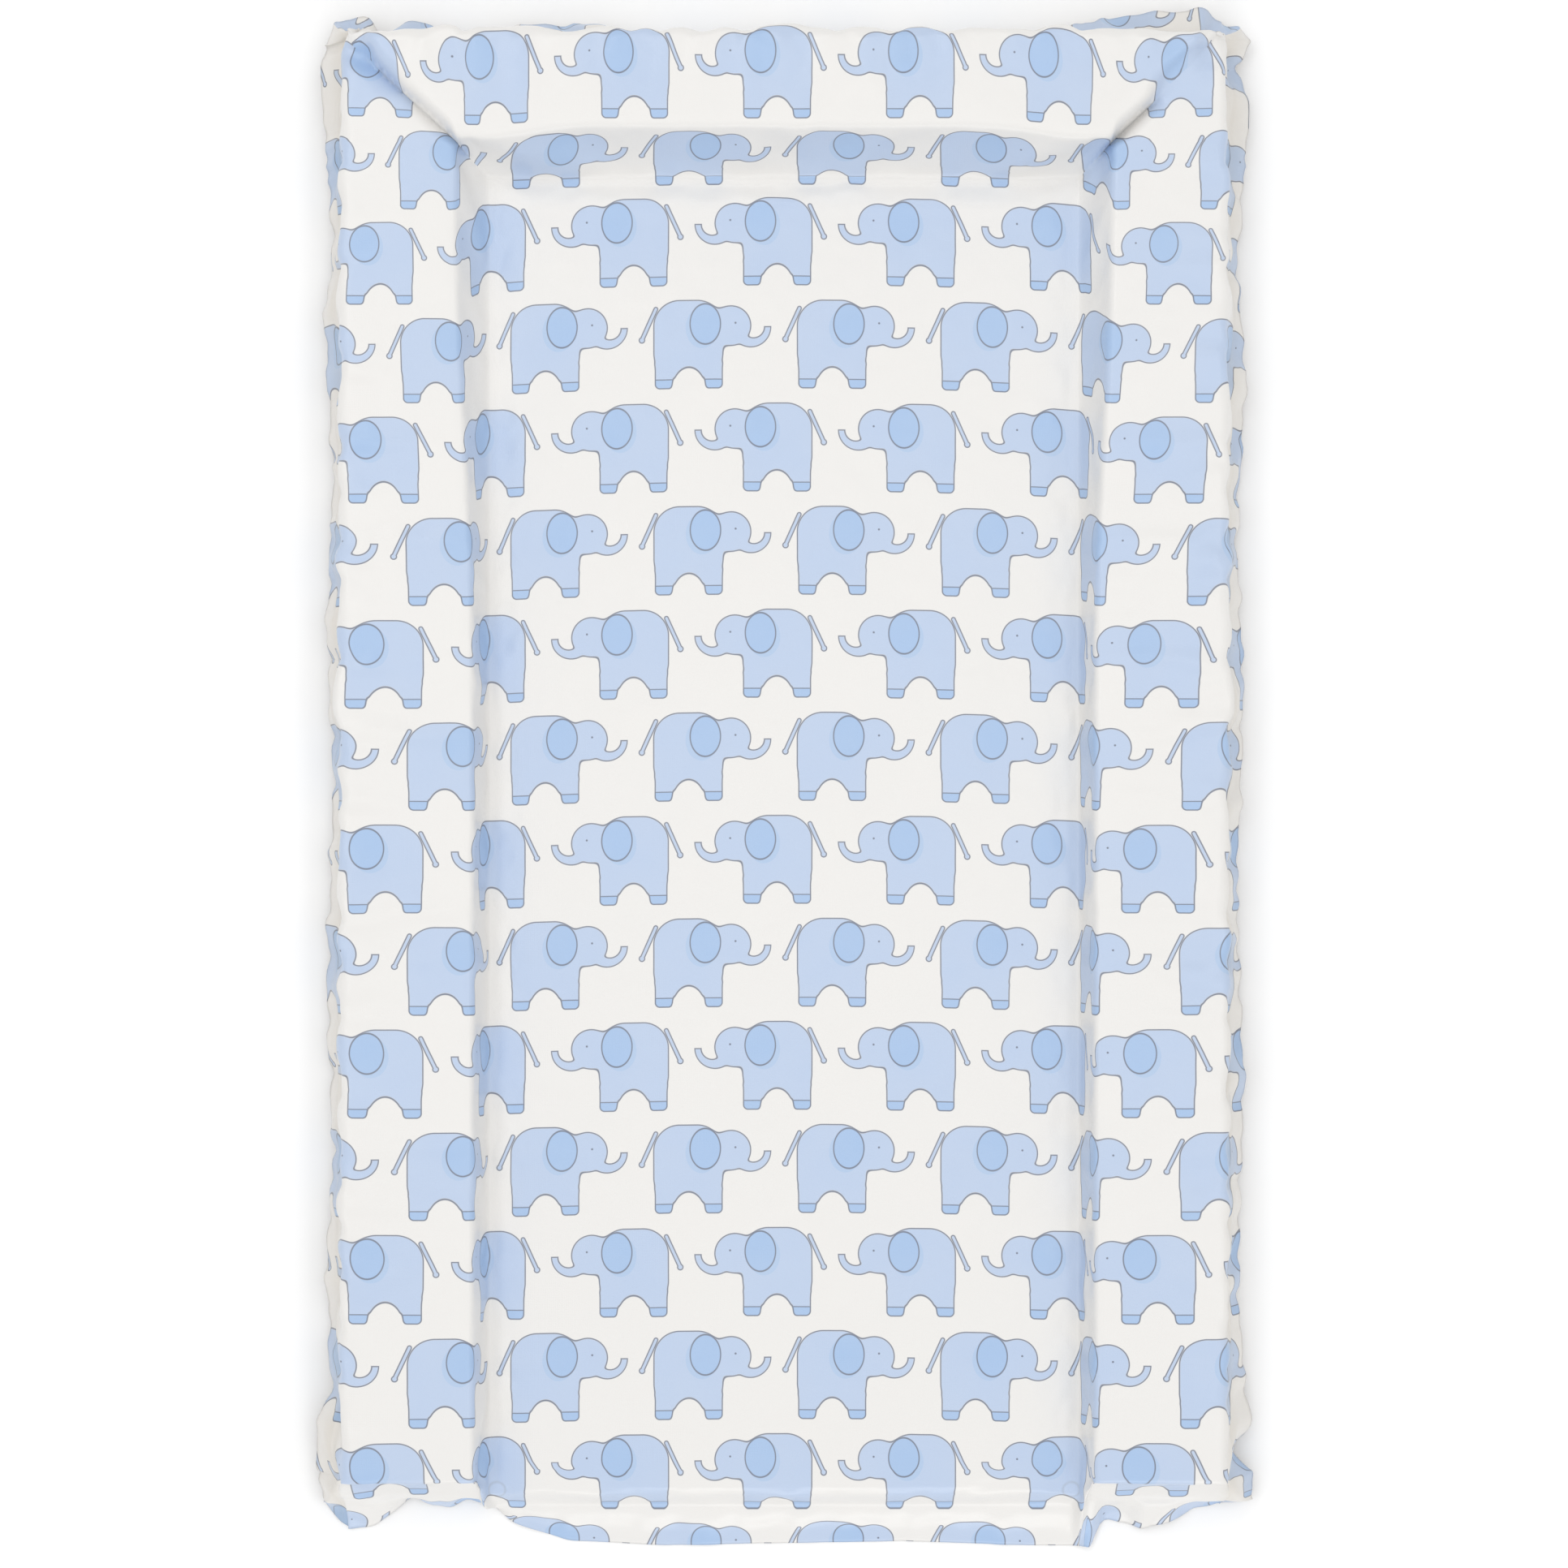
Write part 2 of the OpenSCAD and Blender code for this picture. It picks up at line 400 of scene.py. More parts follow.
def cut_mitres(grid, place):
    """Sinks the creases where the side bars meet the head bar, and softens their outer ends."""
    first = grid.ny - 1 - LAST
    for i in range(grid.nx):
        side = grid.station(i)
        for near in (-1, 0, 1):
            head = side + near
            if not TOP_FROM - 5 <= side <= SEAM - 3 or not 0 <= head <= LAST:
                continue
            along = (side - TOP_FROM) / TOP_STEPS
            depth = np.interp(along, CREASE_AT, CREASE_RIGHT if grid.sign[i] > 0 else CREASE_LEFT)
            depth *= smooth(side, TOP_FROM - 6, TOP_FROM)
            place[first + head, i, 2] -= depth * BESIDE_CREASE[near]
    for sign, begin in SOFT_FROM:
        columns = [i for i in range(1, grid.nx - 1) if grid.sign[i] == sign]
        for _ in range(SOFTENING):
            before = place[..., 2].copy()
            for i in columns:
                side = grid.station(i)
                for head in range(TOP_FROM, LAST):
                    along = (max(side, head) - TOP_FROM) / TOP_STEPS
                    share = float(smooth(along, begin, begin + 0.3) * smooth(TOP_TO + 1 - side, 0, 1.5))
                    near = smooth(6 - abs(side - head), 0, 2)
                    share *= float(smooth(TOP_TO + 1 - head, 0, 1.5) * near)
                    if not share or side < TOP_FROM:
                        continue
                    j = first + head
                    above_below = before[j - 1, i] + before[j + 1, i]
                    mean = (above_below + before[j, i - 1] + before[j, i + 1]) / 4
                    place[j, i, 2] += (mean - before[j, i]) * share


# -------- flat coordinates of the print
PRINT_DROOP = 3.0  # how far the printed rows sag from the middle to the side bars
BAR_SLIP_Y = (-360, -235, 160, 250, 295, 340)  # places along the side bars
BAR_SLIP = (0, 1, 8, 14, 20, 27)  # sheet taken up by the mitre pleat at those places
HEAD_SLIP_X = (0, 70, 140, 213)  # the same along the head bar
HEAD_SLIP = (0, 2, 6, 17)
TAKE_UP_Y = (-20, 280)  # places along the side bars
SIDE_TAKE_UP = {-1: (5.0, 5.0), 1: (9.5, 2.0)}  # sheet drawn into the valley there, by side
HEAD_TAKE_UP, HEAD_STRETCH = 5.8, 1.6  # the same at the head bar's foot, and on its wall
SIDE_PATH_LEAN = 0.12  # a middling lean, for the printed sheet's path over the side bars


def flat_path(kind, lean):
    """Distance along the flat sheet from the inner weld's middle to each station over a bar."""
    width, top, seam_z = BARS[kind]
    return BAND + path_lengths(upper_section(width, lean * width, top, seam_z))


def flat_coordinates(grid, place):
    """(across, along) position on the flat sheet of each point, as part of a side and of the head."""
    side_path = flat_path("side", SIDE_PATH_LEAN)
    middle_path, corner_path = flat_path("head", HEAD_LEAN), flat_path("head", CORNER_LEAN)
    pad_foot = [(out, PAD_TOP if z is None else z) for out, z in FOOT_PAD]
    bar_foot = [(out, SIDE_TOP if z is None else z) for out, z in FOOT_BAR]
    pad_path, bar_path = path_lengths(np.array(pad_foot)), path_lengths(np.array(bar_foot))
    droop = PRINT_DROOP * (np.clip(abs(place[..., 0]) / INNER_X, 0, 1)) ** 2
    as_side, as_head = place[..., :2].copy(), place[..., :2].copy()
    as_side[..., 1] += droop
    as_head[..., 1] += droop
    for j in range(grid.ny):
        head, foot = grid.head(j), grid.foot(j)
        for i in range(grid.nx):
            side = grid.station(i)
            if side >= 0:
                take_up = np.interp(place[j, i, 1], TAKE_UP_Y, SIDE_TAKE_UP[grid.sign[i]])
                take_up *= smooth(side, 0, TOP_FROM)
                as_side[j, i, 0] = grid.sign[i] * (INNER_X + side_path[side] + take_up)
                slip = np.interp(place[j, i, 1], BAR_SLIP_Y, BAR_SLIP) - PRINT_DROOP
                as_side[j, i, 1] += slip * smooth(side, 0, TOP_FROM)
            if head >= 0:
                slip = np.interp(abs(place[j, i, 0]), HEAD_SLIP_X, HEAD_SLIP) * smooth(head, 0, TOP_FROM)
                as_head[j, i, 0] += math.copysign(slip, place[j, i, 0])
                corner = near_corner(place[j, i, 0])
                path = middle_path[head] * (1 - corner) + corner_path[head] * corner
                take_up = HEAD_TAKE_UP * smooth(head, 0, 2) + HEAD_STRETCH * smooth(head, 2, TOP_FROM)
                sag = droop[j, i] * (1 - smooth(head, 0, TOP_FROM))
                as_head[j, i, 1] = INNER_Y + path + sag + take_up
            if foot >= 0:
                share = smooth(side, -1, TOP_FROM) if side >= 0 else 0.0
                down = pad_path[foot] * (1 - share) + bar_path[foot] * share
                as_side[j, i, 1] = FOOT_SEAM - FOOT_PAD[0][0] - down
    return as_side, as_head


def grid_faces(grid, inside_only=False):
    """Faces between grid points as (points, is part of the head). The mitres run along face edges."""
    faces = []
    for j in range(grid.ny - 1):
        head = max(grid.head(j + 1), -1) - 1
        for i in range(grid.nx - 1):
            side = max(grid.station(i), grid.station(i + 1)) - 1
            foot = grid.foot(j)
            if inside_only and (side >= SEAM or head >= SEAM or foot > FOOT_SEAM_ROW):
                continue
            a, b = j * grid.nx + i, j * grid.nx + i + 1
            c, d = b + grid.nx, a + grid.nx
            if side >= 0 and side == head:
                if grid.sign[i] > 0 or grid.sign[i + 1] > 0:
                    faces += [((a, b, c), False), ((a, c, d), True)]
                else:
                    faces += [((a, b, d), False), ((b, c, d), True)]
            else:
                faces.append(((a, b, c, d), head > side))
    return faces


# -------- meshes
def make_object(name, points, faces):
    """A mesh object from points in millimetres."""
    mesh = bpy.data.meshes.new(name)
    mesh.from_pydata((np.asarray(points) * M).tolist(), [], [tuple(f) for f in faces])
    mesh.update()
    mesh.polygons.foreach_set("use_smooth", [True] * len(mesh.polygons))
    piece = bpy.data.objects.new(name, mesh)
    bpy.context.scene.collection.objects.link(piece)
    return piece


def vectors(items, name):
    """A vector property of mesh items, one row for each."""
    values = np.empty(len(items) * 3)
    items.foreach_get(name, values)
    return values.reshape(-1, 3)


def apply_modifiers(piece):
    """Replaces a piece's mesh by what its modifiers make of it."""
    graph = bpy.context.evaluated_depsgraph_get()
    mesh = bpy.data.meshes.new_from_object(piece.evaluated_get(graph), depsgraph=graph)
    piece.modifiers.clear()
    old = piece.data
    piece.data = mesh
    mesh.name = piece.name
    bpy.data.meshes.remove(old)


def loft(name, sections):
    """A closed solid through equal loops of points, capped at both ends."""
    count = len(sections[0])
    points = np.concatenate([np.array(s) for s in sections])
    faces = []
    for k in range(len(sections) - 1):
        for n in range(count):
            m = (n + 1) % count
            faces.append((k * count + n, k * count + m, (k + 1) * count + m, (k + 1) * count + n))
    faces.append(tuple(reversed(range(count))))
    last = (len(sections) - 1) * count
    faces.append(tuple(range(last, last + count)))
    piece = make_object(name, points, faces)
    bm = bmesh.new()
    bm.from_mesh(piece.data)
    bmesh.ops.recalc_face_normals(bm, faces=bm.faces)
    bm.to_mesh(piece.data)
    bm.free()
    return piece


# -------- foam
FOAM_INSET = 1.3  # foam surface below the sheet's surface
FOAM_ROUND = 2.6  # radius of the foam's cut edges
FOAM_FLOOR = FLOOR_GAP + 0.5
MITRE_ROOM = 13.0  # how far the full height of a foam bar stops short of the mitre
MITRE_BEVEL = 7.0
SIDE_SINK, HEAD_SINK = 9.0, 14.0  # how far the bars' tops sink over the bevel
PAD_ROOM = 4.5  # room between the pad's foam and the inner weld
PAD_FOOT_SLOPE = 12  # length over which the pad's foam thins at the foot end


def sunk(z, depth):
    """A lowered height for the bevelled end of a foam bar."""
    return max(FOAM_FLOOR, z - depth * smooth(z, 4, 24))


def round_corners(corners, radius, count=3):
    """A closed polygon with its corners rounded."""
    corners = [np.array(c, float) for c in corners]
    line = []
    for k, corner in enumerate(corners):
        before = corners[k - 1] - corner
        after = corners[(k + 1) % len(corners)] - corner
        start = corner + before / np.linalg.norm(before) * radius
        end = corner + after / np.linalg.norm(after) * radius
        for t in np.linspace(0, 1, count + 1):
            line.append((1 - t) ** 2 * start + 2 * t * (1 - t) * corner + t * t * end)
    return line


def bar_loop(width, lean, top):
    """Cross-section of a foam bar, as distances from the inner weld and heights."""
    inset = FOAM_INSET
    return round_corners([
        (BAND + 2.2 + inset, FOAM_FLOOR), (lean + inset + 0.8, top - inset),
        (width - inset, top - inset), (width - inset + 0.6, FOAM_FLOOR),
    ], FOAM_ROUND)


def side_foam(name, sign):
    """Foam bar at one side, mitred at its head end."""
    start = BAR_FOOT + FOAM_INSET + 0.5
    sections = []
    for t in np.linspace(0, 1, 25):
        y = start + t * (INNER_Y - start)
        ring = []
        for distance, z in bar_loop(SIDE_W, side_lean(y) * SIDE_W, SIDE_TOP):
            end = INNER_Y + distance * HEAD_W / SIDE_W - MITRE_ROOM
            ring.append((sign * (INNER_X + distance), start + t * (end - start), z))
        sections.append(ring)
    sections.append([(x, y + MITRE_BEVEL, sunk(z, SIDE_SINK)) for x, y, z in sections[-1]])
    return loft(name, sections)


def head_foam(name):
    """Foam bar at the head, mitred at both ends."""
    sections = []
    for t in np.linspace(-1, 1, 31):
        ring = []
        for distance, z in bar_loop(HEAD_W, head_lean(t * INNER_X) * HEAD_W, HEAD_TOP):
            end = INNER_X + distance * SIDE_W / HEAD_W - MITRE_ROOM
            ring.append((t * end, INNER_Y + distance, z))
        sections.append(ring)
    for sign, at in ((-1, 0), (1, len(sections) + 1)):
        near = sections[0 if sign < 0 else -1]
        sections.insert(at, [(x + sign * MITRE_BEVEL, y, sunk(z, HEAD_SINK)) for x, y, z in near])
    return loft(name, sections)


def pad_foam(name):
    """Thin foam pad with a slight crown."""
    half = INNER_X - BAND - PAD_ROOM
    low, high = FOOT_SEAM + 3.5, INNER_Y - BAND - PAD_ROOM
    xs, ys = np.linspace(-half, half, 47), np.linspace(low, high, 103)
    top, bottom = [], []
    for y in ys:
        for x in xs:
            foot = min(1.0, (y - FOOT_SEAM) / PAD_FOOT_SLOPE)
            z = pad_height(x, y) - FOAM_INSET
            z = FOAM_FLOOR + 2 + (z - FOAM_FLOOR - 2) * foot
            top.append((x, y, z))
            bottom.append((x * 0.995, y, FOAM_FLOOR))
    n, m = len(xs), len(ys)
    faces = []
    for j in range(m - 1):
        for i in range(n - 1):
            a = j * n + i
            faces.append((a, a + 1, a + 1 + n, a + n))
            b = a + n * m
            faces.append((b + n, b + n + 1, b + 1, b))
    rim = list(range(n)) + [j * n + n - 1 for j in range(1, m)]
    rim += [(m - 1) * n + i for i in range(n - 2, -1, -1)] + [j * n for j in range(m - 2, 0, -1)]
    for k, a in enumerate(rim):
        b = rim[(k + 1) % len(rim)]
        faces.append((b, a, a + n * m, b + n * m))
    return make_object(name, top + bottom, faces)


# -------- cloth simulation
SIM_SCALE = 10.0  # the solver's smallest distances suit a larger model
SIM_FRAMES = 24
CLOTH_GAP = 0.7
FLANGE_HOLD = 0.45  # how firmly the stiff cut edge keeps its shape
GROWTH = 0.10  # the most that the sheet grows where it ruffles
ON_FLOOR = 0.05  # a backing point this close to its flat height stays pinned to the floor
BACKING_TIGHT = 0.9
CLOTH = {
    "quality": 6, "mass": 0.25, "air_damping": 2.0,
    "tension_stiffness": 40, "compression_stiffness": 40,
    "shear_stiffness": 12, "bending_stiffness": 4.0,
    "tension_damping": 8, "compression_damping": 8,
    "shear_damping": 6, "bending_damping": 2,
    "vertex_group_mass": "pins", "vertex_group_shrink": "tight",
    "shrink_min": -GROWTH, "shrink_max": 0.0,
}


def inside(grid, i, j):
    """Whether a point lies inside the outer seam."""
    return grid.station(i) < SEAM and grid.head(j) < SEAM and grid.foot(j) < FOOT_SEAM_ROW


def on_ring(grid, i, j):
    """Whether a point of the backing is on its free wall or the last row on the floor."""
    return max(grid.station(i), grid.head(j)) >= TOP_TO or grid.foot(j) >= FOOT_SEAM_ROW - 3


def beside_weld(grid, i):
    """Whether a column is the pad's outermost one, at the inner weld's edge."""
    return grid.station(i) < 0 and 0 in (grid.station(i - 1), grid.station(i + 1))


def pin_weight(grid, i, j):
    """1 where the sheet is held by a weld: the inner line and the pad's foot seam."""
    side, head, foot = grid.station(i), grid.head(j), grid.foot(j)
    edge = beside_weld(grid, i)
    if max(side, head) > SEAM or foot > FOOT_SEAM_ROW + 1:
        return FLANGE_HOLD * max(flange_share(grid, i, j))
    if foot >= 0:
        if side < 0 and foot in (FOOT_SEAM_ROW, FOOT_SEAM_ROW + 1):
            return 1.0
        return 1.0 if foot <= 6 and (side == 0 or edge) else 0.0
    if head < 0:
        return 1.0 if side == 0 or edge or (head == -1 and side < 0) else 0.0
    return 1.0 if head == 0 and side <= 0 else 0.0


def on_weld(grid, i, j):
    """Whether a point lies on the inner weld, where the backing is drawn up to the printed sheet."""
    side, head = grid.station(i), grid.head(j)
    if head > 0 or side > 0 or grid.foot(j) > FOOT_SEAM_ROW - 3:
        return False
    return side == 0 or head in (-1, 0) or beside_weld(grid, i)


def growth_share(grid, i, j):
    """How much the sheet is given to spare, from 0 to 1: most on the flange, a little elsewhere."""
    side, head, foot = flange_share(grid, i, j)
    out = max(side, head, foot)
    if foot > 0 and grid.station(i) < TOP_FROM:
        return 0.1
    if out > 0:
        return 0.35 + 0.4 * out
    border = max(grid.station(i), grid.head(j))
    if border >= 0:
        full = 0.42 if grid.head(j) >= grid.station(i) else 0.32
        return 0.1 + full * float(smooth(border, TOP_TO - 7, TOP_TO + 3))
    return 0.06


def simulate(grid, upper, lower, faces, foams):
    """Lets the sheet grow, wrinkle and settle on the foam; moves the points of both surfaces."""
    extra = [(j, i) for j in range(grid.ny) for i in range(grid.nx)
             if inside(grid, i, j) and on_ring(grid, i, j)]
    base = grid.nx * grid.ny
    lower_index = {j * grid.nx + i: base + k for k, (j, i) in enumerate(extra)}
    points = np.concatenate([upper.reshape(-1, 3), np.array([lower[j, i] for j, i in extra])])
    polygons = [f for f, _ in faces]
    shared = {j * grid.nx + i for j in range(grid.ny) for i in range(grid.nx) if not inside(grid, i, j)}
    for face, _ in grid_faces(grid, inside_only=True):
        if all(v in lower_index or v in shared for v in face) and any(v in lower_index for v in face):
            polygons.append(tuple(reversed([lower_index.get(v, v) for v in face])))
    cloth_piece = make_object("sim_sheet", points * SIM_SCALE, polygons)
    pins = cloth_piece.vertex_groups.new(name="pins")
    tight = cloth_piece.vertex_groups.new(name="tight")
    for j in range(grid.ny):
        for i in range(grid.nx):
            v = j * grid.nx + i
            weight = pin_weight(grid, i, j)
            if weight:
                pins.add([v], weight, "REPLACE")
            tight.add([v], 1 - growth_share(grid, i, j), "REPLACE")
    for (j, i), v in zip(extra, range(base, base + len(extra))):
        if lower[j, i, 2] <= FLOOR_GAP + ON_FLOOR:
            pins.add([v], 1.0, "REPLACE")
        tight.add([v], BACKING_TIGHT, "REPLACE")
    colliders = []
    for foam in foams:
        copy = foam.copy()
        copy.data = foam.data.copy()
        copy.data.transform(Matrix.Scale(SIM_SCALE, 4))
        bpy.context.scene.collection.objects.link(copy)
        copy.modifiers.new("hit", "COLLISION")
        copy.collision.thickness_outer = CLOTH_GAP * M * SIM_SCALE * 0.5
        copy.collision.cloth_friction = 6
        colliders.append(copy)
    cloth = cloth_piece.modifiers.new("cloth", "CLOTH")
    for setting, value in CLOTH.items():
        setattr(cloth.settings, setting, value)
    cloth.collision_settings.use_collision = True
    cloth.collision_settings.distance_min = CLOTH_GAP * M * SIM_SCALE
    cloth.collision_settings.collision_quality = 3
    cloth.collision_settings.use_self_collision = False
    cloth.point_cache.frame_start = 1
    cloth.point_cache.frame_end = SIM_FRAMES
    scene = bpy.context.scene
    for f in range(1, SIM_FRAMES + 1):
        scene.frame_set(f)
    graph = bpy.context.evaluated_depsgraph_get()
    result = cloth_piece.evaluated_get(graph).to_mesh()
    moved = vectors(result.vertices, "co") / M / SIM_SCALE
    scene.frame_set(1)
    for temporary in [cloth_piece] + colliders:
        bpy.data.objects.remove(temporary)
    return moved, extra


# -------- the two sheets
def vertex_normals(points, faces):
    """Unit normal at each point of a mesh, pointing up on the upper sheet."""
    normals = np.zeros_like(points)
    for face in faces:
        a, b, c = (points[face[k]] for k in (0, 1, -1))
        normal = np.cross(b - a, c - a)
        for v in face:
            normals[v] += normal
    length = np.linalg.norm(normals, axis=1)
    length[length == 0] = 1
    return normals / length[:, None]


def set_flat_map(piece, faces, as_side, as_head):
    """Stores the flat position, in millimetres, of every face corner as a UV map named flat."""
    layer = piece.data.uv_layers.new(name="flat")
    side, head = as_side.reshape(-1, 2), as_head.reshape(-1, 2)
    values = []
    for face, is_head in faces:
        source = head if is_head else side
        for v in face:
            values.extend(source[v])
    layer.data.foreach_set("uv", np.array(values, np.float32))


VALLEY_SHARE = 0.4  # a wrinkle's depth beside its height, because the foam stops it
# Heights of the wrinkles on the pad, and what the bars add to them
SLANTED_WRINKLE, FINE_WRINKLE = (0.45, 0.3), (0.08, 0.2)
SIDE_FOLD, HEAD_FOLD = 0.9, 2.0  # heights of the folds in the bars' outer edges
SIDE_REACH, HEAD_REACH = 26, 44  # how far those folds run in


def crinkle(piece):
    """Small soft wrinkles, and short folds that run in from the bars' outer edges."""
    mesh = piece.data
    place, normal = vectors(mesh.vertices, "co"), vectors(mesh.vertex_normals, "vector")
    side_edge, head_edge = INNER_X + SIDE_W, INNER_Y + HEAD_W
    for v in range(len(place)):
        x, y, z = place[v] / M
        out_x, out_y = abs(x) - side_edge, y - head_edge
        border = float(smooth(max(out_x + SIDE_W, out_y + HEAD_W), -8, 12))
        slanted = Vector(((x + y) / 58, (x - y) / 17, z / 30))
        fine = Vector((x / 13, y / 13, z / 13))
        lift = noise.noise(slanted) * (SLANTED_WRINKLE[0] + SLANTED_WRINKLE[1] * border)
        lift += noise.noise(fine) * (FINE_WRINKLE[0] + FINE_WRINKLE[1] * border)
        side_near, head_near = smooth(out_x, -SIDE_REACH, -3), smooth(out_y, -HEAD_REACH, -3)
        lift += side_near * noise.noise(Vector((x / 60, y / 11, 3.0))) * SIDE_FOLD
        lift += head_near * noise.noise(Vector((x / 12, y / 70, 7.0))) * HEAD_FOLD
        if lift < 0:
            lift *= VALLEY_SHARE
        held = smooth(-max(out_x, out_y), 0.5, 4.0) * smooth(y, FOOT_SEAM + 6, FOOT_SEAM + 22)
        place[v] += normal[v] * lift * float(held) * M
    mesh.vertices.foreach_set("co", place.ravel())
    mesh.update()


FILM = SHEET * 0.8  # thickness given to each sheet
SHEET_STEP = 1.6  # distance between the sheets where they are welded, in sheet thicknesses


def finish_sheet(piece, printed):
    """Smooths a sheet, wrinkles the printed one, and gives it its thickness."""
    smoothing = piece.modifiers.new("smoothing", "SUBSURF")
    smoothing.levels = smoothing.render_levels = 1
    smoothing.uv_smooth = "NONE"
    apply_modifiers(piece)
    if printed:
        crinkle(piece)
    thickness = piece.modifiers.new("thickness", "SOLIDIFY")
    thickness.thickness = FILM * M
    thickness.offset = -1
    apply_modifiers(piece)


LEFT_CREASE_END, RIGHT_CREASE_END = TOP_TO - 4, TOP_FROM + 5  # last crisp stations


def crease_mitres(piece, grid):
    """Keeps the inner part of each mitre a crisp line when the sheet is smoothed."""
    first = grid.ny - 1 - LAST
    stations = {}
    for i in range(grid.nx):
        side = grid.station(i)
        last = LEFT_CREASE_END if grid.sign[i] < 0 else RIGHT_CREASE_END
        if 2 <= side <= last:
            stations[(first + side) * grid.nx + i] = side
    crease = piece.data.attributes.new("crease_edge", "FLOAT", "EDGE")
    for edge in piece.data.edges:
        a, b = edge.vertices
        if a in stations and b in stations and abs(stations[a] - stations[b]) == 1:
            crease.data[edge.index].value = 1.0


FLANGE_CLEAR = 1.0  # least room between the hanging flange and the backing's wall behind it


def clear_wall(grid, upper, lower):
    """Moves the flange outwards where it settled in the backing's wall behind it."""
    for j in range(grid.ny):
        head = grid.head(j)
        for i in range(grid.nx):
            side, sign = grid.station(i), grid.sign[i]
            if head > SEAM and head >= side:
                seam_j = j - head + SEAM
                wall = max(upper[seam_j, i, 1], lower[seam_j - 1, i, 1], lower[seam_j - 2, i, 1])
                upper[j, i, 1] = max(upper[j, i, 1], wall + FLANGE_CLEAR)
            elif side > SEAM and grid.foot(j) < FOOT_SEAM_ROW:
                seam_i = i - sign * (side - SEAM)
                wall = max(abs(upper[j, seam_i, 0]), abs(lower[j, seam_i - sign, 0]))
                upper[j, i, 0] = sign * max(abs(upper[j, i, 0]), wall + FLANGE_CLEAR)


def build_sheets(foams):
    """The printed sheet and the backing, settled on the foam."""
    grid = Grid()
    upper, lower = build_surface(grid, False), build_surface(grid, True)
    as_side, as_head = flat_coordinates(grid, upper)
    wave_flange(grid, upper)
    cut_mitres(grid, upper)
    faces = grid_faces(grid)
    moved, extra = simulate(grid, upper, lower, faces, foams)
    upper = moved[:grid.nx * grid.ny].reshape(upper.shape)
    for (j, i), point in zip(extra, moved[grid.nx * grid.ny:]):
        lower[j, i] = point
    clear_wall(grid, upper, lower)
    upper[..., 2] = np.maximum(upper[..., 2], FLOOR_GAP + 2 * SHEET)
    points = upper.reshape(-1, 3)
    polygons = [f for f, _ in faces]
    top = make_object("top_sheet_vinyl", points, polygons)
    set_flat_map(top, faces, as_side, as_head)
    crease_mitres(top, grid)
    under = points - vertex_normals(points, polygons) * SHEET * SHEET_STEP
    for j in range(grid.ny):
        for i in range(grid.nx):
            if not inside(grid, i, j) or on_weld(grid, i, j):
                lower[j, i] = under[j * grid.nx + i]
    lower[..., 2] = np.maximum(lower[..., 2], FLOOR_GAP)
    flipped = [(tuple(reversed(f)), is_head) for f, is_head in faces]
    back = make_object("backing_sheet_vinyl", lower.reshape(-1, 3), [f for f, _ in flipped])
    set_flat_map(back, flipped, as_side, as_head)
    finish_sheet(top, True)
    finish_sheet(back, False)
    return top, back


# -------- node materials
def math_node(operation):
    """A method of Value that makes one math node."""
    return lambda *values: Value.make(operation, *values)


class Value:
    """A number in a material's node tree, with arithmetic."""

    tree = None
    __add__, __sub__ = math_node("ADD"), math_node("SUBTRACT")
    __mul__, __truediv__ = math_node("MULTIPLY"), math_node("DIVIDE")
    least, most = math_node("MINIMUM"), math_node("MAXIMUM")
    size, blend_least = math_node("ABSOLUTE"), math_node("SMOOTH_MIN")

    def __init__(self, socket):
        self.socket = socket

    @staticmethod
    def make(operation, *values):
        node = add_node("Math")
        node.operation = operation
        for slot, value in zip(node.inputs, values):
            if isinstance(value, Value):
                link(value, slot)
            else:
                slot.default_value = value
        return Value(node.outputs[0])


def add_node(kind, **inputs):
    """A new node in the material being built, with some fixed inputs."""
    node = Value.tree.nodes.new("ShaderNode" + kind)
    for name, value in inputs.items():
        node.inputs[name].default_value = value
    return node


def link(source, target):
    """Leads an output or a Value to an input."""
    Value.tree.links.new(source.socket if isinstance(source, Value) else source, target)


def length(x, y):
    """Length of a plane vector."""
    return Value.make("SQRT", x * x + y * y)


def disc(x, y, cx, cy, r):
    """Signed distance to a circle."""
    return length(x - cx, y - cy) - r


def box(x, y, cx, cy, half_x, half_y, r):
    """Signed distance to a box with rounded corners."""
    over_x = (x - cx).size() - (half_x - r)
    over_y = (y - cy).size() - (half_y - r)
    return length(over_x.most(0), over_y.most(0)) + over_x.most(over_y).least(0) - r


def oval(x, y, cx, cy, rx, ry):
    """Rough signed distance to an ellipse."""
    return (length((x - cx) / rx, (y - cy) / ry) - 1) * min(rx, ry)


def rod(x, y, start, end, r):
    """Signed distance to a thick line."""
    dx, dy = end[0] - start[0], end[1] - start[1]
    px, py = x - start[0], y - start[1]
    along = ((px * dx + py * dy) / (dx * dx + dy * dy)).most(0).least(1)
    return length(px - along * dx, py - along * dy) - r


def inside_of(distance, soft=0.12):
    """1 inside a shape, 0 outside, with a soft edge."""
    node = add_node("MapRange", **{"From Min": soft, "From Max": -soft})
    link(distance, node.inputs["Value"])
    return Value(node.outputs[0])


def paint(under, over, share, blend="MIX"):
    """A fixed colour laid over a fixed or computed one where share is 1."""
    node = add_node("Mix")
    node.data_type = "RGBA"
    node.blend_type = blend
    link(share, node.inputs["Factor"])
    if isinstance(under, tuple):
        node.inputs["A"].default_value = under
    else:
        link(under, node.inputs["A"])
    node.inputs["B"].default_value = over
    return node.outputs["Result"]


def colour(red, green, blue):
    """A linear colour from display values of 0 to 255."""
    return tuple(((c / 255 + 0.055) / 1.055) ** 2.4 for c in (red, green, blue)) + (1.0,)


